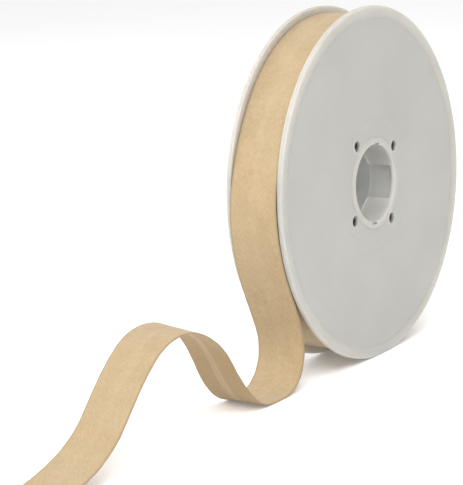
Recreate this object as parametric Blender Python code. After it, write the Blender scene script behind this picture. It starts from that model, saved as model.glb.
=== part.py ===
"""A roll of bias binding on a two-flange plastic reel, with its loose end run out on the surface.

Metres, +Z up. The reel stands on its rims with its axis along X. The front flange is the one at +X,
and the loose end runs out towards -Y. The origin is at the middle of the object's footprint.
"""

import math
from itertools import accumulate

import bmesh
import bpy

# Binding: a strip folded to this width, laid between the flanges with a little clearance.
TAPE_WIDTH = 0.0200
CLEARANCE = 0.0003
SHEET_THICKNESS = 0.0010
WOUND_RADIUS = 0.0665

# Flanges.
FLANGE_RADIUS = 0.0700
FLANGE_THICKNESS = 0.0021
RECESS_DEPTH = 0.0005
RIM_BAND_RADIUS = 0.0666
RECESS_RADIUS = 0.0654
RIM_CHAMFER = 0.0006
FLAT_DEPTH = 0.0002

# Hub: bore sleeve of the front half, socket ring and winding barrel of the back half.
BORE_RADIUS = 0.0153
BORE_CHAMFER = 0.0010
SLEEVE_RADIUS = 0.0167
SLEEVE_DEPTH = 0.0123
COLLAR_RADIUS = 0.0178
COLLAR_SLOPE = 0.0005
SOCKET_INNER_RADIUS = 0.0170
SOCKET_OUTER_RADIUS = 0.0182
BARREL_INNER_RADIUS = 0.0230
BARREL_RADIUS = 0.0242

# Drive holes and the windows between the sleeve's two tongues.
HOLE_COUNT = 4
HOLE_CIRCLE_RADIUS = 0.0206
HOLE_RADIUS = 0.00225
WINDOW_WIDTH = 0.0134
WINDOW_START_DEPTH = 0.0016
HUB_SPIN = math.radians(-8)

SEGMENTS = 72
HOLE_SEGMENTS = 16

# The loose end's route. Distance runs along the binding from where it leaves the roll, heading is
# its direction in the Y-Z plane (180 is towards -Y, 270 straight down), and lean is how far its
# +X edge is turned towards its inner side.
LEAVES_ROLL_AT = 142
ROUTE = (
    # distance mm, heading deg, lean deg
    (0, 232, 0),
    (30, 251, 0),
    (62, 283, 6),
    (82, 294, 7),
    (92, 291, 6),
    (100, 276, 4),
    (108, 250, 3),
    (116, 220, 2),
    (122, 198, 1),
    (128, 180, 0),
    (132, 180, 0),
    (138, 163, 0),
    (145, 144, 1),
    (154, 129, 2),
    (166, 121, 6),
    (185, 146, 8),
    (205, 182, 3),
    (225, 218, -2),
    (244, 226, -3),
    (256, 213, -1),
    (270, 198, 2),
    (292, 188, 4),
    (320, 180, 0),
    (340, 180, 0),
)
FIRST_LAID = (128, 132)
LAST_LAID = (320, 340)
ROUTE_STEP = 2

HALF_GAP = TAPE_WIDTH / 2 + CLEARANCE
HALF_WIDTH = HALF_GAP + FLANGE_THICKNESS
REST_HEIGHT = FLANGE_RADIUS - FLAT_DEPTH
TAIL_RADIUS = WOUND_RADIUS + CLEARANCE

PLASTIC_WHITE = (0.61, 0.60, 0.56)
BINDING_BEIGE = (0.69, 0.52, 0.33)


def clear_scene():
    for old in list(bpy.data.objects):
        bpy.data.objects.remove(old, do_unlink=True)


def make_material(name, colour, roughness):
    material = bpy.data.materials.new(name)
    material.use_nodes = True
    shader = material.node_tree.nodes["Principled BSDF"]
    shader.inputs["Base Color"].default_value = (*colour, 1.0)
    shader.inputs["Roughness"].default_value = roughness
    shader.inputs["Metallic"].default_value = 0.0
    return material


def add_object(name, bm, material=None):
    mesh = bpy.data.meshes.new(name)
    bm.to_mesh(mesh)
    bm.free()
    obj = bpy.data.objects.new(name, mesh)
    bpy.context.scene.collection.objects.link(obj)
    if material:
        mesh.materials.append(material)
    return obj


def turned(name, outline, material, reel):
    """A closed outline of (place along the axis, radius) points, spun about the reel's axis."""
    half_step = math.pi / SEGMENTS
    bm = bmesh.new()
    points = [(x, r * math.cos(half_step), r * math.sin(half_step)) for x, r in outline]
    verts = [bm.verts.new(point) for point in points]
    edges = [bm.edges.new(pair) for pair in zip(verts, verts[1:] + verts[:1])]
    bmesh.ops.spin(
        bm,
        geom=verts + edges,
        cent=(0, 0, 0),
        axis=(1, 0, 0),
        angle=math.tau,
        steps=SEGMENTS,
        use_merge=True,
    )
    # The small flat that the reel stands on.
    for vert in bm.verts:
        vert.co.z = max(vert.co.z, -REST_HEIGHT)
    bmesh.ops.recalc_face_normals(bm, faces=bm.faces)
    obj = add_object(name, bm, material)
    obj.data.shade_smooth()
    obj.data.set_sharp_from_angle(angle=math.radians(30))
    obj.parent = reel
    return obj


def add_cutter(name, bm, reel):
    cutter = add_object(name, bm)
    cutter.hide_render = True
    cutter.display_type = "WIRE"
    cutter.parent = reel
    cutter.rotation_euler.x = HUB_SPIN
    return cutter


def cut(obj, cutter):
    boolean = obj.modifiers.new("Cut " + cutter.name, "BOOLEAN")
    boolean.operation = "DIFFERENCE"
    boolean.solver = "EXACT"
    boolean.object = cutter


def drive_hole_cutter(name, x, reel):
    """The drive holes' pins, side by side on their circle, through the flange at x."""
    bm = bmesh.new()
    for i in range(HOLE_COUNT):
        angle = math.tau * (i + 0.5) / HOLE_COUNT
        pin = bmesh.ops.create_cone(
            bm,
            cap_ends=True,
            segments=HOLE_SEGMENTS,
            radius1=HOLE_RADIUS,
            radius2=HOLE_RADIUS,
            depth=3 * FLANGE_THICKNESS,
        )["verts"]
        for vert in pin:
            along, across, up = vert.co.z, vert.co.x, vert.co.y
            vert.co.x = x + along
            vert.co.y = HOLE_CIRCLE_RADIUS * math.cos(angle) + across
            vert.co.z = HOLE_CIRCLE_RADIUS * math.sin(angle) + up
    return add_cutter(name, bm, reel)


def window_cutter(name, reel):
    """One bar across the bore: it opens both windows and leaves two tongues."""
    high = HALF_WIDTH - WINDOW_START_DEPTH
    low = HALF_WIDTH - SLEEVE_DEPTH - BORE_CHAMFER
    bm = bmesh.new()
    bar = bmesh.ops.create_cube(bm, size=1)["verts"]
    for vert in bar:
        vert.co.x = (high + low) / 2 + vert.co.x * (high - low)
        vert.co.y *= 2 * (SLEEVE_RADIUS + CLEARANCE)
        vert.co.z *= WINDOW_WIDTH
    return add_cutter(name, bm, reel)


def rim_outline(side):
    """The flange's outer face from its rim in to the bore: (place along the axis, radius)."""
    face = HALF_WIDTH
    recess = face - RECESS_DEPTH
    outline = (
        (HALF_GAP, FLANGE_RADIUS - RIM_CHAMFER),
        (HALF_GAP + RIM_CHAMFER, FLANGE_RADIUS),
        (face - RIM_CHAMFER, FLANGE_RADIUS),
        (face, FLANGE_RADIUS - RIM_CHAMFER),
        (face, RIM_BAND_RADIUS),
        (recess, RECESS_RADIUS),
        (recess, COLLAR_RADIUS + COLLAR_SLOPE),
        (face, COLLAR_RADIUS),
        (face, BORE_RADIUS + BORE_CHAMFER),
        (face - BORE_CHAMFER, BORE_RADIUS),
    )
    return [(side * x, r) for x, r in outline]


def make_spool_front(material, reel):
    sleeve_end = HALF_WIDTH - SLEEVE_DEPTH
    sleeve = [
        (sleeve_end, BORE_RADIUS),
        (sleeve_end, SLEEVE_RADIUS),
        (HALF_GAP, SLEEVE_RADIUS),
    ]
    spool = turned("spool_front", rim_outline(1) + sleeve, material, reel)
    cut(spool, window_cutter("sleeve_windows", reel))
    cut(spool, drive_hole_cutter("front_drive_holes", HALF_WIDTH, reel))


def make_spool_back(material, reel):
    """Both rings stop short of the front flange by the clearance."""
    far = HALF_GAP - CLEARANCE
    rings = [
        (-HALF_GAP, BORE_RADIUS),
        (-HALF_GAP, SOCKET_INNER_RADIUS),
        (far, SOCKET_INNER_RADIUS),
        (far, SOCKET_OUTER_RADIUS),
        (-HALF_GAP, SOCKET_OUTER_RADIUS),
        (-HALF_GAP, BARREL_INNER_RADIUS),
        (far, BARREL_INNER_RADIUS),
        (far, BARREL_RADIUS),
        (-HALF_GAP, BARREL_RADIUS),
    ]
    spool = turned("spool_back", rim_outline(-1) + rings, material, reel)
    cut(spool, drive_hole_cutter("back_drive_holes", -HALF_WIDTH, reel))


def make_binding_roll(material, reel):
    inner = BARREL_RADIUS + CLEARANCE
    half = TAPE_WIDTH / 2
    outline = [(-half, inner), (-half, WOUND_RADIUS), (half, WOUND_RADIUS), (half, inner)]
    turned("binding_roll", outline, material, reel)


def smooth_column(column, distance):
    """One column of ROUTE at a distance, on a smooth curve that never overshoots its rows."""
    xs = [row[0] for row in ROUTE]
    ys = [row[column] for row in ROUTE]
    gaps = [b - a for a, b in zip(xs, xs[1:])]
    rates = [(b - a) / gap for a, b, gap in zip(ys, ys[1:], gaps)]
    tangents = [rates[0]]
    for before, after, d0, d1 in zip(gaps, gaps[1:], rates, rates[1:]):
        if d0 * d1 <= 0:
            tangents.append(0.0)
            continue
        w0 = 2 * after + before
        w1 = after + 2 * before
        tangents.append((w0 + w1) / (w0 / d0 + w1 / d1))
    tangents.append(rates[-1])
    i = max(k for k in range(len(gaps)) if xs[k] <= distance or k == 0)
    t = (distance - xs[i]) / gaps[i]
    rise = ys[i + 1] - ys[i]
    ease = t * t * (3 - 2 * t)
    lift = t * (1 - t) ** 2 * tangents[i] - t * t * (1 - t) * tangents[i + 1]
    return ys[i] + rise * ease + gaps[i] * lift


def tail_route():
    """Stations along the loose end: (y, z, heading, lean), y from the reel's axis, z from the surface.

    The small height error left after each hanging stretch is shared out along it, so that both
    laid stretches lie exactly on the surface.
    """
    steps = round(ROUTE[-1][0] / ROUTE_STEP)
    start = math.radians(LEAVES_ROLL_AT)
    first = (TAIL_RADIUS * math.cos(start), REST_HEIGHT + TAIL_RADIUS * math.sin(start))
    headings = [math.radians(smooth_column(1, ROUTE_STEP * (i + 0.5))) for i in range(steps)]
    length = ROUTE_STEP / 1000
    ys = list(accumulate((length * math.cos(h) for h in headings), initial=first[0]))
    zs = list(accumulate((length * math.sin(h) for h in headings), initial=first[1]))
    first_error = zs[round(FIRST_LAID[0] / ROUTE_STEP)]
    last_error = zs[-1] - first_error
    stations = []
    for i, (y, z) in enumerate(zip(ys, zs)):
        distance = i * ROUTE_STEP
        hanging = min(distance / FIRST_LAID[0], 1)
        humped = (distance - FIRST_LAID[1]) / (LAST_LAID[0] - FIRST_LAID[1])
        z -= first_error * hanging + last_error * min(max(humped, 0), 1)
        heading = math.radians(smooth_column(1, distance))
        lean = math.radians(smooth_column(2, distance))
        stations.append((y, z, heading, lean))
    return stations


def make_binding_tail(material, stations, reel_y):
    """The inner side of the loose end as a strip, thickened towards its outer side."""
    bm = bmesh.new()
    half = TAPE_WIDTH / 2
    pairs = []
    for y, z, heading, lean in stations:
        inner_y = -math.sin(heading) * math.sin(lean) * half
        inner_z = math.cos(heading) * math.sin(lean) * half
        across = half * math.cos(lean)
        left = bm.verts.new((-across, reel_y + y - inner_y, max(z - inner_z, 0.0)))
        right = bm.verts.new((across, reel_y + y + inner_y, max(z + inner_z, 0.0)))
        pairs.append((left, right))
    for (left, right), (next_left, next_right) in zip(pairs, pairs[1:]):
        bm.faces.new((left, next_left, next_right, right))
    tail = add_object("binding_tail", bm, material)
    solidify = tail.modifiers.new("Thickness", "SOLIDIFY")
    solidify.thickness = SHEET_THICKNESS
    solidify.offset = 1.0
    solidify.use_even_offset = True
    tail.data.shade_smooth()


def main():
    clear_scene()
    plastic = make_material("reel_plastic", PLASTIC_WHITE, 0.42)
    fabric = make_material("binding_fabric", BINDING_BEIGE, 0.85)

    stations = tail_route()
    flange_reach = FLANGE_RADIUS * math.cos(math.pi / SEGMENTS)
    reel_y = -(flange_reach + stations[-1][0]) / 2

    reel = bpy.data.objects.new("reel_axis", None)
    bpy.context.scene.collection.objects.link(reel)
    reel.location = (0, reel_y, REST_HEIGHT)

    make_spool_front(plastic, reel)
    make_spool_back(plastic, reel)
    make_binding_roll(fabric, reel)
    make_binding_tail(fabric, stations, reel_y)


main()
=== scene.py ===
"""The looks of a roll of bias binding: a two-part plastic reel, the wound binding and its loose end.

Metres, +Z up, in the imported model's frame. The reel's axis runs along X, and the loose end runs out
towards -Y on the surface at z = 0.
"""

import math
from itertools import accumulate

import bmesh
import bpy
from mathutils import Euler, Matrix, Vector


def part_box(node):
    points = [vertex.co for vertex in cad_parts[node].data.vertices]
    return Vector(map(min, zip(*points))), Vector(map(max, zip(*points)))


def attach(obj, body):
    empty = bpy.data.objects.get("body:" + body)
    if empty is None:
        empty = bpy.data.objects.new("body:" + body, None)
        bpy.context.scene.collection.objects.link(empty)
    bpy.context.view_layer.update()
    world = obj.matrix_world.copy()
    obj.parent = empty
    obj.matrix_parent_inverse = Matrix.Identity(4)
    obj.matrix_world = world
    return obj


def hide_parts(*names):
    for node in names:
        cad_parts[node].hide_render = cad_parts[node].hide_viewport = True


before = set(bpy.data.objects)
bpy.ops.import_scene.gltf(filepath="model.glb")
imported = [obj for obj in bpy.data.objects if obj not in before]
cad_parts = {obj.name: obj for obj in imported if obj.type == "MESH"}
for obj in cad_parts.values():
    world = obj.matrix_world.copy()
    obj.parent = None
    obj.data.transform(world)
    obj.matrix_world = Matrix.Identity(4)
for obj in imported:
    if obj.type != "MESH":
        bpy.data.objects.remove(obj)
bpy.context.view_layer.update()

QUARTER_TURN = math.pi / 2

# The reel's place and size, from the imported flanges.
CAD_SEGMENTS = 72
front_low, front_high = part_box("spool_front")
roll_low, roll_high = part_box("binding_roll")
CAD_REACH = (front_high.y - front_low.y) / 2
AXIS_Y = (front_high.y + front_low.y) / 2
AXIS_Z = front_high.z - CAD_REACH
FLANGE_RADIUS = CAD_REACH / math.cos(math.pi / CAD_SEGMENTS)
WOUND_RADIUS = (roll_high.y - roll_low.y) / 2 / math.cos(math.pi / CAD_SEGMENTS)
HALF_WIDTH = front_high.x
TAPE_WIDTH = roll_high.x - roll_low.x

# Flanges.
FLANGE_THICKNESS = 0.0021
HALF_GAP = HALF_WIDTH - FLANGE_THICKNESS
RECESS_DEPTH = 0.0005
RIM_BAND_RADIUS = 0.0666
RECESS_RADIUS = 0.0654
RIM_ROUNDING = 0.0009
EDGE_ROUNDING = 0.0003
FINE_ROUNDING = 0.0001
CUT_ROUNDING = 0.00018

# Hub.
BORE_RADIUS = 0.0153
BORE_ROUNDING = 0.0010
SLEEVE_RADIUS = 0.0167
SLEEVE_DEPTH = 0.0123
COLLAR_RADIUS = 0.0178
COLLAR_SLOPE = 0.0005
COLLAR_ROUNDING = 0.0004
SOCKET_INNER_RADIUS = 0.0170
SOCKET_STEP_RADIUS = 0.0175
SOCKET_STEP_DEPTH = 0.0125
SOCKET_OUTER_RADIUS = 0.0182
BARREL_INNER_RADIUS = 0.0230
BARREL_RADIUS = 0.0242
CLEARANCE = 0.0003
RING_LINE_RADIUS = 0.0262
RING_LINE_WIDTH = 0.0010
RING_LINE_DEPTH = 0.00008

# Drive holes, windows between the two tongues, and shut-off notches at the bore's edge.
HOLE_COUNT = 4
HOLE_CIRCLE_RADIUS = 0.0206
HOLE_RADIUS = 0.00225
WINDOW_WIDTH = 0.0134
WINDOW_START_DEPTH = 0.0016
WINDOW_CORNER = 0.0006
TONGUE_CORNER = 0.0015
NOTCH_WIDTH = 0.0046
NOTCH_HEIGHT = 0.0005
NOTCH_DEPTH = 0.0012
HUB_SPIN = math.radians(-8)

LATHE_SEGMENTS = 256
CORNER_STEPS = 5
HOLE_SEGMENTS = 48
BEVELLED_ABOVE = math.radians(50)
SHARP_ABOVE = math.radians(40)

# The binding: cloth folded so that both raw edges meet on the centre line of its inner side.
CLOTH = 0.00022
FOLDED_THICKNESS = 0.0005
RAW_EDGE_GAP = 0.00006
RAW_EDGE_SLOPE = 0.0012
RAW_EDGE_DIP = 0.00003
FLAT_STEPS = 6
FOLD_STEPS = 7
SLOPE_STEPS = 4
EVEN_STEPS = 5
TURN_PITCH = 0.0005
TURN_RIDGE = 0.00012
RIDGED_DEPTH = 0.012
COARSE_RIDGE = 4
OUTER_TURNS = 1.25
TURN_STEP = math.radians(1.5)

# How uneven the strip is: its thickness as a share, its width in metres.
THICKNESS_UNEVENNESS = 0.12
WIDTH_UNEVENNESS = 0.00008
WIDTH_WAVE_START = 0.02

# The loose end's route, as in the CAD part: distance runs from where it leaves the roll, heading is
# its direction in the Y-Z plane (180 is towards -Y, 270 straight down), and lean is how far its
# +X edge is turned towards its inner side.
LEAVES_ROLL_AT = 142
ROUTE = (
    # distance mm, heading deg, lean deg
    (0, 232, 0),
    (30, 251, 0),
    (62, 283, 6),
    (82, 294, 7),
    (92, 291, 6),
    (100, 276, 4),
    (108, 250, 3),
    (116, 220, 2),
    (122, 198, 1),
    (128, 180, 0),
    (132, 180, 0),
    (138, 163, 0),
    (145, 144, 1),
    (154, 129, 2),
    (166, 121, 6),
    (185, 146, 8),
    (205, 182, 3),
    (225, 218, -2),
    (244, 226, -3),
    (256, 213, -1),
    (270, 198, 2),
    (292, 188, 4),
    (320, 180, 0),
    (340, 180, 0),
)
FIRST_LAID = (128, 132)
LAST_LAID = (320, 340)
ROUTE_STEP = 1

# Camera: where it stands from the reel's centre, the point it looks at, its roll and its lens.
CAMERA_BACK = (0.38359, -0.64501, 0.13071)
CAMERA_AIM = (-0.0375, -0.0309, -0.0211)
CAMERA_ROLL = math.radians(3.38)
CAMERA_LENS = 141.0


def new_object(name, verts, faces, material):
    mesh = bpy.data.meshes.new(name)
    mesh.from_pydata(verts, [], faces)
    mesh.materials.append(material)
    mesh.validate()
    obj = bpy.data.objects.new(name, mesh)
    bpy.context.scene.collection.objects.link(obj)
    return obj


def on_reel(obj):
    """Places a mesh that was made about the reel's axis."""
    obj.location = (0, AXIS_Y, AXIS_Z)
    bpy.context.view_layer.update()
    obj.data.transform(obj.matrix_world)
    obj.matrix_world = Matrix.Identity(4)


def applied(obj):
    """Turns an object's modifiers into its mesh."""
    bpy.context.view_layer.update()
    depsgraph = bpy.context.evaluated_depsgraph_get()
    mesh = bpy.data.meshes.new_from_object(obj.evaluated_get(depsgraph), depsgraph=depsgraph)
    obj.modifiers.clear()
    obj.data = mesh
    return obj


def rounded(rows):
    """A closed outline of (x, radius, rounding) rows with each corner drawn as a short curve."""
    points = []
    for i, (x, r, rounding) in enumerate(rows):
        corner = Vector((x, r))
        before = Vector(rows[i - 1][:2]) - corner
        after = Vector(rows[(i + 1) % len(rows)][:2]) - corner
        reach = min(rounding, 0.48 * before.length, 0.48 * after.length)
        start = corner + before.normalized() * reach
        end = corner + after.normalized() * reach
        for k in range(CORNER_STEPS + 1):
            t = k / CORNER_STEPS
            points.append(start * (1 - t) ** 2 + corner * 2 * t * (1 - t) + end * t * t)
    return points


def turned(name, outline, material):
    """A closed outline of (place along the axis, radius) points, spun about the X axis."""
    count = len(outline)
    verts = []
    for k in range(LATHE_SEGMENTS):
        angle = math.tau * k / LATHE_SEGMENTS
        for x, r in outline:
            verts.append((x, r * math.cos(angle), max(r * math.sin(angle), -AXIS_Z)))
    faces = []
    for k in range(LATHE_SEGMENTS):
        this = k * count
        following = (k + 1) % LATHE_SEGMENTS * count
        for i in range(count):
            j = (i + 1) % count
            faces.append((this + i, this + j, following + j, following + i))
    obj = new_object(name, verts, faces, material)
    bm = bmesh.new()
    bm.from_mesh(obj.data)
    bmesh.ops.recalc_face_normals(bm, faces=bm.faces)
    bm.to_mesh(obj.data)
    bm.free()
    return obj


def cut(obj, cutters):
    """Cuts the cutters out of the object and throws them away."""
    for cutter in cutters:
        cutter.data.transform(Euler((HUB_SPIN, 0, 0)).to_matrix().to_4x4())
        boolean = obj.modifiers.new(cutter.name, "BOOLEAN")
        boolean.operation = "DIFFERENCE"
        boolean.solver = "EXACT"
        boolean.object = cutter
    applied(obj)
    for cutter in cutters:
        bpy.data.objects.remove(cutter)


def soften(obj, width):
    """Rounds the edges that the cuts left sharp."""
    bevel = obj.modifiers.new("Soften", "BEVEL")
    bevel.width = width
    bevel.segments = 2
    bevel.limit_method = "ANGLE"
    bevel.angle_limit = BEVELLED_ABOVE
    applied(obj)
    obj.data.shade_smooth()
    obj.data.set_sharp_from_angle(angle=SHARP_ABOVE)
    obj.modifiers.new("Even shading", "WEIGHTED_NORMAL").keep_sharp = True
    return obj


def prism(name, outline, low, high, axis, material):
    """A closed outline extruded between two places along X or Y."""
    def place(a, b, c):
        return (c, a, b) if axis == "X" else (a, c, b)

    count = len(outline)
    verts = [place(a, b, low) for a, b in outline] + [place(a, b, high) for a, b in outline]
    faces = [tuple(range(count)), tuple(range(2 * count - 1, count - 1, -1))]
    for i in range(count):
        j = (i + 1) % count
        faces.append((i, j, count + j, count + i))
    obj = new_object(name, verts, faces, material)
    bm = bmesh.new()
    bm.from_mesh(obj.data)
    bmesh.ops.recalc_face_normals(bm, faces=bm.faces)
    bm.to_mesh(obj.data)
    bm.free()
    return obj


def drive_hole_cutters(side, material):
    cutters = []
    for i in range(HOLE_COUNT):
        angle = math.tau * (i + 0.5) / HOLE_COUNT
        centre = (HOLE_CIRCLE_RADIUS * math.cos(angle), HOLE_CIRCLE_RADIUS * math.sin(angle))
        outline = []
        for k in range(HOLE_SEGMENTS):
            turn = math.tau * k / HOLE_SEGMENTS
            y = centre[0] + HOLE_RADIUS * math.cos(turn)
            z = centre[1] + HOLE_RADIUS * math.sin(turn)
            outline.append((y, z))
        middle = side * HALF_WIDTH
        low = middle - 1.5 * FLANGE_THICKNESS
        high = middle + 1.5 * FLANGE_THICKNESS
        cutters.append(prism(f"drive_hole_{i}", outline, low, high, "X", material))
    return cutters


def window_cutter(material):
    """A bar across the bore whose deep end flares, so that the tongues get round corners."""
    high = HALF_WIDTH - WINDOW_START_DEPTH
    end = HALF_WIDTH - SLEEVE_DEPTH
    half = WINDOW_WIDTH / 2
    flare = half + TONGUE_CORNER
    side = []
    for k in range(CORNER_STEPS + 1):
        turn = QUARTER_TURN * k / CORNER_STEPS
        x = high - WINDOW_CORNER * (1 - math.cos(turn))
        side.append((x, half - WINDOW_CORNER * (1 - math.sin(turn))))
    for k in range(CORNER_STEPS + 1):
        turn = QUARTER_TURN * k / CORNER_STEPS
        x = end + TONGUE_CORNER * (1 - math.sin(turn))
        side.append((x, flare - TONGUE_CORNER * math.cos(turn)))
    side.append((end - BORE_ROUNDING, flare))
    outline = side + [(x, -z) for x, z in reversed(side)]
    reach = SLEEVE_RADIUS + CLEARANCE
    return prism("windows", outline, -reach, reach, "Y", material)


def notch_cutters(material):
    cutters = []
    for side in (1, -1):
        middle = side * (BORE_RADIUS + NOTCH_HEIGHT)
        outline = [
            (-NOTCH_WIDTH / 2, middle - NOTCH_HEIGHT),
            (NOTCH_WIDTH / 2, middle - NOTCH_HEIGHT),
            (NOTCH_WIDTH / 2, middle + NOTCH_HEIGHT / 2),
            (-NOTCH_WIDTH / 2, middle + NOTCH_HEIGHT / 2),
        ]
        low = HALF_WIDTH - NOTCH_DEPTH
        cutters.append(prism("notch", outline, low, HALF_WIDTH + NOTCH_DEPTH, "X", material))
    return cutters


def flange_outline(side):
    """From the flange's inner side round its rim and in to the bore: (x, radius, rounding)."""
    face = HALF_WIDTH
    recess = face - RECESS_DEPTH
    line_high = RING_LINE_RADIUS + RING_LINE_WIDTH / 2
    line_low = RING_LINE_RADIUS - RING_LINE_WIDTH / 2
    rows = (
        (HALF_GAP, FLANGE_RADIUS, EDGE_ROUNDING),
        (face, FLANGE_RADIUS, RIM_ROUNDING),
        (face, RIM_BAND_RADIUS, EDGE_ROUNDING),
        (recess, RECESS_RADIUS, EDGE_ROUNDING),
        (recess, line_high, FINE_ROUNDING),
        (recess - RING_LINE_DEPTH, RING_LINE_RADIUS, FINE_ROUNDING),
        (recess, line_low, FINE_ROUNDING),
        (recess, COLLAR_RADIUS + COLLAR_SLOPE, EDGE_ROUNDING),
        (face, COLLAR_RADIUS, COLLAR_ROUNDING),
        (face, BORE_RADIUS, BORE_ROUNDING),
    )
    return [(side * x, r, rounding) for x, r, rounding in rows]


def make_spool_front(material):
    sleeve_end = HALF_WIDTH - SLEEVE_DEPTH
    sleeve = [
        (sleeve_end, BORE_RADIUS, EDGE_ROUNDING),
        (sleeve_end, SLEEVE_RADIUS, EDGE_ROUNDING),
        (HALF_GAP, SLEEVE_RADIUS, EDGE_ROUNDING),
    ]
    spool = turned("reel_front_half", rounded(flange_outline(1) + sleeve), material)
    cutters = [window_cutter(material), *drive_hole_cutters(1, material), *notch_cutters(material)]
    cut(spool, cutters)
    soften(spool, CUT_ROUNDING)
    on_reel(spool)
    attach(spool, "root")
    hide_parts("spool_front")


def make_spool_back(material):
    far = HALF_GAP - CLEARANCE
    step = HALF_WIDTH - SOCKET_STEP_DEPTH
    rings = [
        (-HALF_GAP, BORE_RADIUS, EDGE_ROUNDING),
        (-HALF_GAP, SOCKET_STEP_RADIUS, EDGE_ROUNDING),
        (step, SOCKET_STEP_RADIUS, FINE_ROUNDING),
        (step, SOCKET_INNER_RADIUS, FINE_ROUNDING),
        (far, SOCKET_INNER_RADIUS, EDGE_ROUNDING),
        (far, SOCKET_OUTER_RADIUS, EDGE_ROUNDING),
        (-HALF_GAP, SOCKET_OUTER_RADIUS, EDGE_ROUNDING),
        (-HALF_GAP, BARREL_INNER_RADIUS, EDGE_ROUNDING),
        (far, BARREL_INNER_RADIUS, EDGE_ROUNDING),
        (far, BARREL_RADIUS, EDGE_ROUNDING),
        (-HALF_GAP, BARREL_RADIUS, EDGE_ROUNDING),
    ]
    spool = turned("reel_back_half", rounded(flange_outline(-1) + rings), material)
    cut(spool, drive_hole_cutters(-1, material))
    soften(spool, CUT_ROUNDING)
    on_reel(spool)
    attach(spool, "root")
    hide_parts("spool_back")


def make_wound_binding(material):
    """The wound body under the outermost turns, its sides ridged turn by turn near the outside."""
    inner = BARREL_RADIUS + CLEARANCE
    outer = WOUND_RADIUS - FOLDED_THICKNESS
    half = TAPE_WIDTH / 2
    edges = []
    radius = inner
    while radius < outer - TURN_PITCH / 2:
        pitch = TURN_PITCH if radius > outer - RIDGED_DEPTH else COARSE_RIDGE * TURN_PITCH
        edges.append((half - TURN_RIDGE, radius))
        edges.append((half, radius + pitch / 2))
        radius += pitch
    edges.append((half - TURN_RIDGE, outer - TURN_PITCH / 2))
    edges.append((half - TURN_RIDGE, outer))
    outline = [Vector(edge) for edge in edges]
    outline += [Vector((-x, r)) for x, r in reversed(edges)]
    roll = turned("wound_binding", outline, material)
    roll.data.shade_smooth()
    roll.data.set_sharp_from_angle(angle=math.radians(60))
    on_reel(roll)
    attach(roll, "root")
    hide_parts("binding_roll")


def smooth_column(column, distance):
    """One column of ROUTE at a distance, on a smooth curve that never overshoots its rows."""
    xs = [row[0] for row in ROUTE]
    ys = [row[column] for row in ROUTE]
    gaps = [b - a for a, b in zip(xs, xs[1:])]
    rates = [(b - a) / gap for a, b, gap in zip(ys, ys[1:], gaps)]
    tangents = [rates[0]]
    for before, after, d0, d1 in zip(gaps, gaps[1:], rates, rates[1:]):
        if d0 * d1 <= 0:
            tangents.append(0.0)
            continue
        w0 = 2 * after + before
        w1 = after + 2 * before
        tangents.append((w0 + w1) / (w0 / d0 + w1 / d1))
    tangents.append(rates[-1])
    i = max(k for k in range(len(gaps)) if xs[k] <= distance or k == 0)
    t = (distance - xs[i]) / gaps[i]
    rise = ys[i + 1] - ys[i]
    ease = t * t * (3 - 2 * t)
    lift = t * (1 - t) ** 2 * tangents[i] - t * t * (1 - t) * tangents[i + 1]
    return ys[i] + rise * ease + gaps[i] * lift


def tail_route():
    """Stations along the loose end: (y, z, heading, lean), y from the reel's axis."""
    steps = round(ROUTE[-1][0] / ROUTE_STEP)
    start = math.radians(LEAVES_ROLL_AT)
    radius = WOUND_RADIUS + CLEARANCE
    first = (radius * math.cos(start), AXIS_Z + radius * math.sin(start))
    headings = [math.radians(smooth_column(1, ROUTE_STEP * (i + 0.5))) for i in range(steps)]
    length = ROUTE_STEP / 1000
    ys = list(accumulate((length * math.cos(h) for h in headings), initial=first[0]))
    zs = list(accumulate((length * math.sin(h) for h in headings), initial=first[1]))
    first_error = zs[round(FIRST_LAID[0] / ROUTE_STEP)]
    last_error = zs[-1] - first_error
    stations = []
    for i, (y, z) in enumerate(zip(ys, zs)):
        distance = i * ROUTE_STEP
        hanging = min(distance / FIRST_LAID[0], 1)
        humped = (distance - FIRST_LAID[1]) / (LAST_LAID[0] - FIRST_LAID[1])
        z -= first_error * hanging + last_error * min(max(humped, 0), 1)
        heading = math.radians(smooth_column(1, distance))
        lean = math.radians(smooth_column(2, distance))
        stations.append((y, z, heading, lean))
    return stations


def turn_route():
    """Stations along the outermost turns of the roll, from under them to where the end leaves."""
    end = math.radians(LEAVES_ROLL_AT)
    count = round(OUTER_TURNS * math.tau / TURN_STEP)
    stations = []
    for i in range(count):
        back = (count - i) * TURN_STEP
        angle = end - back
        radius = WOUND_RADIUS + CLEARANCE - TURN_PITCH * back / math.tau
        y = radius * math.cos(angle)
        z = AXIS_Z + radius * math.sin(angle)
        stations.append((y, z, angle + QUARTER_TURN, 0.0))
    return stations


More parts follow.
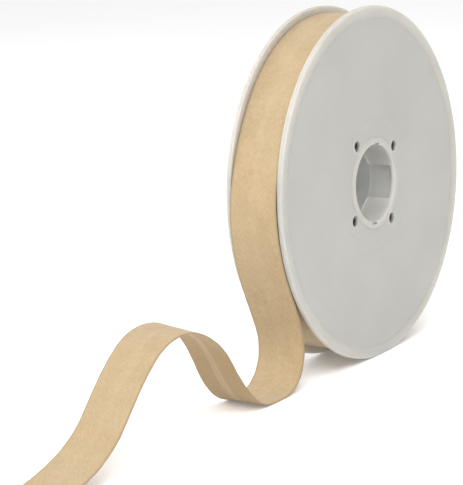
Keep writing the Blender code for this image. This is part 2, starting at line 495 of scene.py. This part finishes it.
def folded_section():
    """The folded cloth's outline: (place across, height over the inner side, place across the cloth).

    The last value runs over the cloth as cut, from raw edge to raw edge, and 0 is its middle.
    """
    half = TAPE_WIDTH / 2
    bend = FOLDED_THICKNESS / 2
    gap = RAW_EDGE_GAP / 2
    flat = half - bend
    side = []
    for k in range(FLAT_STEPS + 1):
        across = flat * k / FLAT_STEPS
        side.append((across, FOLDED_THICKNESS, across))
    for k in range(1, FOLD_STEPS):
        turn = math.pi * k / FOLD_STEPS
        across = flat + bend * math.sin(turn)
        side.append((across, bend + bend * math.cos(turn), flat + bend * turn))
    slope_end = gap + RAW_EDGE_SLOPE
    slope = [gap + RAW_EDGE_SLOPE * k / SLOPE_STEPS for k in range(SLOPE_STEPS + 1)]
    even = [slope_end + (flat - slope_end) * k / EVEN_STEPS for k in range(1, EVEN_STEPS + 1)]
    for across in reversed(slope + even):
        dip = max(0.0, 1 - (across - gap) / RAW_EDGE_SLOPE) ** 2 * RAW_EDGE_DIP
        side.append((across, dip, half + half - across))
    side.append((gap + CLOTH / 4, CLOTH, half + half - gap))
    inner = flat - CLOTH / 2
    side.append((inner, CLOTH, half + half - inner))
    side.append((inner + CLOTH / 3, bend, half))
    side.append((inner, FOLDED_THICKNESS - CLOTH, inner))
    side.append((gap, FOLDED_THICKNESS - CLOTH, gap))
    other = [(-across, height, -place) for across, height, place in reversed(side[1:])]
    return side + other


def ripple(distance):
    """Small unevenness of the folded edges along the binding, between -1 and 1."""
    waves = ((0.031, 0.4), (0.0137, 0.9), (0.0071, 2.2))
    return sum(math.sin(math.tau * distance / length + phase) for length, phase in waves) / 3


def make_binding_strip(material):
    """The outermost turns and the loose end: one strip with its folded section swept along it."""
    stations = turn_route() + tail_route()
    section = folded_section()
    count = len(section)
    verts = []
    places = []
    distance = 0.0
    before = None
    for y, z, heading, lean in stations:
        if before is not None:
            distance += math.hypot(y - before[0], z - before[1])
        before = (y, z)
        outward = Vector((0, math.sin(heading), -math.cos(heading)))
        side = Vector((1, 0, 0))
        across = side * math.cos(lean) - outward * math.sin(lean)
        normal = outward * math.cos(lean) + side * math.sin(lean)
        centre = Vector((0, AXIS_Y + y, z))
        puff = 1 + THICKNESS_UNEVENNESS * ripple(distance)
        spread = WIDTH_UNEVENNESS * ripple(distance + WIDTH_WAVE_START)
        for a, height, place in section:
            shift = spread * a / (TAPE_WIDTH / 2)
            point = centre + across * (a + shift) + normal * height * puff
            point.z = max(point.z, 0.0)
            verts.append(point)
            places.append((distance, place))
    faces = []
    for k in range(len(stations) - 1):
        for i in range(count):
            j = (i + 1) % count
            faces.append((k * count + i, (k + 1) * count + i, (k + 1) * count + j, k * count + j))
    last = (len(stations) - 1) * count
    faces.append(tuple(range(count)))
    faces.append(tuple(last + i for i in reversed(range(count))))
    strip = new_object("binding_strip", verts, faces, material)
    add_places(strip, places)
    strip.data.shade_smooth()
    strip.data.set_sharp_from_angle(angle=math.radians(70))
    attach(strip, "root")
    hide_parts("binding_tail")


def add_places(obj, places):
    """Stores each vertex's place on the cloth as the mesh's UV map, in metres."""
    layer = obj.data.uv_layers.new(name="cloth")
    for loop in obj.data.loops:
        layer.data[loop.index].uv = places[loop.vertex_index]


class Nodes:
    """A short way to write a material's node tree."""

    def __init__(self, name):
        self.material = bpy.data.materials.new(name)
        self.material.use_nodes = True
        self.tree = self.material.node_tree
        self.shader = self.tree.nodes["Principled BSDF"]

    def add(self, kind, settings=(), inputs=()):
        node = self.tree.nodes.new(kind)
        for key, value in dict(settings).items():
            setattr(node, key, value)
        for key, value in dict(inputs).items():
            self.feed(node.inputs[key], value)
        return node

    def feed(self, socket, value):
        if isinstance(value, bpy.types.NodeSocket):
            self.tree.links.new(value, socket)
        else:
            socket.default_value = value

    def maths(self, operation, *values):
        node = self.add("ShaderNodeMath", {"operation": operation})
        for socket, value in zip(node.inputs, values):
            self.feed(socket, value)
        return node.outputs[0]

    def mix(self, factor, first, second):
        node = self.add("ShaderNodeMix", {"data_type": "RGBA"})
        self.feed(node.inputs[0], factor)
        self.feed(node.inputs[6], first)
        self.feed(node.inputs[7], second)
        return node.outputs[2]

    def noise(self, vector, scale, detail=2.0):
        inputs = {"Vector": vector, "Scale": scale, "Detail": detail}
        return self.add("ShaderNodeTexNoise", inputs=inputs).outputs["Fac"]

    def spread(self, value, low, high):
        """Maps the middle part of a noise, where nearly all of it lies, to low..high."""
        inputs = {"Value": value, "From Min": 0.3, "From Max": 0.7, "To Min": low, "To Max": high}
        return self.add("ShaderNodeMapRange", inputs=inputs).outputs[0]

    def ramp(self, value, start, end, most):
        """Rises from 0 at start to most at end."""
        inputs = {"Value": value, "From Min": start, "From Max": end, "To Max": most}
        return self.add("ShaderNodeMapRange", inputs=inputs).outputs[0]

    def stretched(self, vector, x, y):
        """Scales a place by x along the strip's turned frame and by y across it."""
        inputs = {"Vector": vector, "Scale": (x, y, 1.0)}
        return self.add("ShaderNodeMapping", inputs=inputs).outputs[0]

    def bump(self, height, strength, distance, below=None):
        inputs = {"Height": height, "Strength": strength, "Distance": distance}
        if below is not None:
            inputs["Normal"] = below
        return self.add("ShaderNodeBump", inputs=inputs).outputs[0]


PLASTIC_TONES = (0.405, 0.394, 0.366, 1), (0.435, 0.424, 0.394, 1)


def plastic_material():
    nodes = Nodes("reel_plastic_finish")
    position = nodes.add("ShaderNodeTexCoord").outputs["Object"]
    broad = nodes.spread(nodes.noise(position, 35.0), 0.0, 1.0)
    fine = nodes.noise(position, 2600.0, 3.0)
    colour = nodes.mix(broad, *PLASTIC_TONES)
    nodes.feed(nodes.shader.inputs["Base Color"], colour)
    roughness = nodes.spread(nodes.noise(position, 160.0), 0.30, 0.42)
    nodes.feed(nodes.shader.inputs["Roughness"], roughness)
    nodes.shader.inputs["Subsurface Weight"].default_value = 0.85
    nodes.shader.inputs["Subsurface Radius"].default_value = (1.0, 0.9, 0.8)
    nodes.shader.inputs["Subsurface Scale"].default_value = 0.0075
    nodes.feed(nodes.shader.inputs["Normal"], nodes.bump(fine, 0.12, 0.0001))
    return nodes.material


# The cloth's colours and its painted shades, and how far from a fold, the raw edges or the middle
# each one reaches.
THREADS_PER_METRE = 2200
SLUBS_PER_METRE = 330
CLOTH_TONES = (0.352, 0.244, 0.122, 1), (0.400, 0.288, 0.155, 1)
COOL_CLOTH = (0.385, 0.302, 0.180, 1)
LIGHT_THREAD = (0.60, 0.47, 0.31, 1)
BROWN_SPECK = (0.30, 0.21, 0.12, 1)
PRESSED_LINE = (0.52, 0.45, 0.34, 1)
PRESSED_LINE_REACH = (0.0024, 0.0004)
# Painted shade: the turned-in halves are drawn darker, as cloth that faces down.
SHADED_INNER_CLOTH = (0.245, 0.155, 0.050, 1)
SHADED_INNER_START = 0.0006
RAW_EDGE = (0.62, 0.50, 0.34, 1)
RAW_EDGE_REACH = (0.0022, 0.0008)
# Painted shade along the folded edges, where the cloth rounds away from the light.
FOLD_PAINTED_SHADE = (0.26, 0.18, 0.10, 1)
FOLD_PAINTED_SHADE_REACH = (0.0009, 0.0003)


def fabric_material():
    nodes = Nodes("binding_fabric_finish")
    place = nodes.add("ShaderNodeUVMap", {"uv_map": "cloth"}).outputs["UV"]
    across = nodes.add("ShaderNodeSeparateXYZ", inputs={"Vector": place}).outputs["Y"]
    from_middle = nodes.maths("ABSOLUTE", across)
    from_fold = nodes.maths("ABSOLUTE", nodes.maths("SUBTRACT", from_middle, TAPE_WIDTH / 2))

    # Two sets of threads lie at 45 degrees to the strip, each thread slightly thick and thin.
    on_the_bias = nodes.add("ShaderNodeMapping", inputs={
        "Vector": place, "Rotation": (0, 0, math.radians(45))}).outputs[0]
    warp_place = nodes.stretched(on_the_bias, THREADS_PER_METRE, SLUBS_PER_METRE)
    weft_place = nodes.stretched(on_the_bias, SLUBS_PER_METRE, THREADS_PER_METRE)
    crossing = nodes.maths(
        "SUBTRACT", nodes.noise(warp_place, 1.0, 1.0), nodes.noise(weft_place, 1.0, 1.0))
    weave = nodes.spread(nodes.maths("MULTIPLY_ADD", crossing, 0.8, 0.5), 0.0, 1.0)
    specks = nodes.noise(place, 1400.0, 1.0)
    patches = nodes.spread(nodes.noise(place, 110.0), 0.0, 1.0)
    broad = nodes.spread(nodes.noise(place, 35.0), 0.0, 0.45)

    plain = nodes.mix(broad, nodes.mix(patches, *CLOTH_TONES), COOL_CLOTH)
    threads = nodes.mix(nodes.maths("MULTIPLY", weave, 0.26), plain, LIGHT_THREAD)
    specked = nodes.mix(nodes.ramp(specks, 0.62, 0.75, 0.20), threads, BROWN_SPECK)

    # The turned-in halves get painted shade, a darker and deeper colour, as on cloth that faces down;
    # there is a paler band along the raw edges, and those edges press through as a faint line on the
    # outer side.
    pressed = nodes.mix(nodes.ramp(from_middle, *PRESSED_LINE_REACH, 0.07), specked, PRESSED_LINE)
    inner_shade_share = nodes.ramp(from_middle, TAPE_WIDTH / 2, TAPE_WIDTH / 2 + SHADED_INNER_START, 0.52)
    inner = nodes.mix(inner_shade_share, pressed, SHADED_INNER_CLOTH)
    raw_start, raw_end = (TAPE_WIDTH - reach for reach in RAW_EDGE_REACH)
    pale = nodes.mix(nodes.ramp(from_middle, raw_start, raw_end, 0.22), inner, RAW_EDGE)
    # Painted shade: the cloth darkens next to each fold.
    folded = nodes.mix(nodes.ramp(from_fold, *FOLD_PAINTED_SHADE_REACH, 0.60), pale, FOLD_PAINTED_SHADE)
    nodes.feed(nodes.shader.inputs["Base Color"], folded)
    nodes.shader.inputs["Roughness"].default_value = 0.88
    nodes.shader.inputs["Sheen Weight"].default_value = 0.15
    nodes.shader.inputs["Sheen Roughness"].default_value = 0.5
    coarse = nodes.bump(specks, 0.25, 0.0001)
    nodes.feed(nodes.shader.inputs["Normal"], nodes.bump(weave, 0.35, 0.0001, coarse))
    return nodes.material


WOUND_TONES = (0.36, 0.26, 0.15, 1), (0.46, 0.34, 0.21, 1)


def wound_material():
    """The wound body shows only its turns' edges, so its cloth is worked out from position."""
    nodes = Nodes("wound_fabric_finish")
    position = nodes.add("ShaderNodeTexCoord").outputs["Object"]
    patches = nodes.spread(nodes.noise(position, 400.0), 0.0, 1.0)
    colour = nodes.mix(patches, *WOUND_TONES)
    nodes.feed(nodes.shader.inputs["Base Color"], colour)
    nodes.shader.inputs["Roughness"].default_value = 0.9
    fine = nodes.noise(position, 2500.0)
    nodes.feed(nodes.shader.inputs["Normal"], nodes.bump(fine, 0.4, 0.0001))
    return nodes.material


FLOOR_TONES = (0.93, 0.93, 0.93, 1), (0.95, 0.95, 0.95, 1)
FLOOR_REACH = 6.0


def floor_material():
    nodes = Nodes("studio_floor")
    position = nodes.add("ShaderNodeTexCoord").outputs["Object"]
    tone = nodes.spread(nodes.noise(position, 3.0), 0.0, 1.0)
    colour = nodes.mix(tone, *FLOOR_TONES)
    nodes.feed(nodes.shader.inputs["Base Color"], colour)
    nodes.shader.inputs["Roughness"].default_value = 0.7
    nodes.shader.inputs["Emission Color"].default_value = (1.0, 1.0, 1.0, 1.0)
    nodes.shader.inputs["Emission Strength"].default_value = 0.14
    return nodes.material


def make_floor():
    reach = FLOOR_REACH
    verts = [(-reach, -reach, 0), (reach, -reach, 0), (reach, reach, 0), (-reach, reach, 0)]
    floor = new_object("studio_floor", verts, [(0, 1, 2, 3)], floor_material())


LIGHTS = (
    # name, place, side of the square, watts
    ("key_softbox", (0.34, -0.42, 0.70), 0.55, 5.6),
    ("front_softbox", (-0.4, -1.7, 1.2), 1.0, 3.0),
    ("back_softbox", (-1.2, -0.2, 0.7), 1.0, 7.0),
)
WORLD_STRENGTH = 0.80


def make_lights():
    aim = Vector((0, AXIS_Y, AXIS_Z))
    for name, place, side, watts in LIGHTS:
        data = bpy.data.lights.new(name, "AREA")
        data.shape = "RECTANGLE"
        data.size = side
        data.size_y = side
        data.energy = watts
        light = bpy.data.objects.new(name, data)
        bpy.context.scene.collection.objects.link(light)
        light.location = place
        light.rotation_euler = (aim - Vector(place)).to_track_quat("-Z", "Y").to_euler()
    world = bpy.data.worlds.new("studio")
    world.use_nodes = True
    background = world.node_tree.nodes["Background"]
    background.inputs["Color"].default_value = (1.0, 1.0, 1.0, 1.0)
    background.inputs["Strength"].default_value = WORLD_STRENGTH
    bpy.context.scene.world = world
    bpy.context.scene.view_settings.view_transform = "Standard"


def make_camera():
    data = bpy.data.cameras.new("camera")
    data.lens = CAMERA_LENS
    data.sensor_width = 36.0
    data.clip_start = 0.01
    data.clip_end = 50.0
    camera = bpy.data.objects.new("camera", data)
    bpy.context.scene.collection.objects.link(camera)
    centre = Vector((0, AXIS_Y, AXIS_Z))
    camera.location = centre + Vector(CAMERA_BACK)
    toward = centre + Vector(CAMERA_AIM) - camera.location
    level = toward.to_track_quat("-Z", "Y")
    camera.rotation_mode = "QUATERNION"
    camera.rotation_quaternion = level @ Euler((0, 0, -CAMERA_ROLL)).to_quaternion()
    bpy.context.scene.camera = camera


make_camera()
make_floor()
make_lights()
plastic = plastic_material()
make_spool_front(plastic)
make_spool_back(plastic)
make_wound_binding(wound_material())
make_binding_strip(fabric_material())
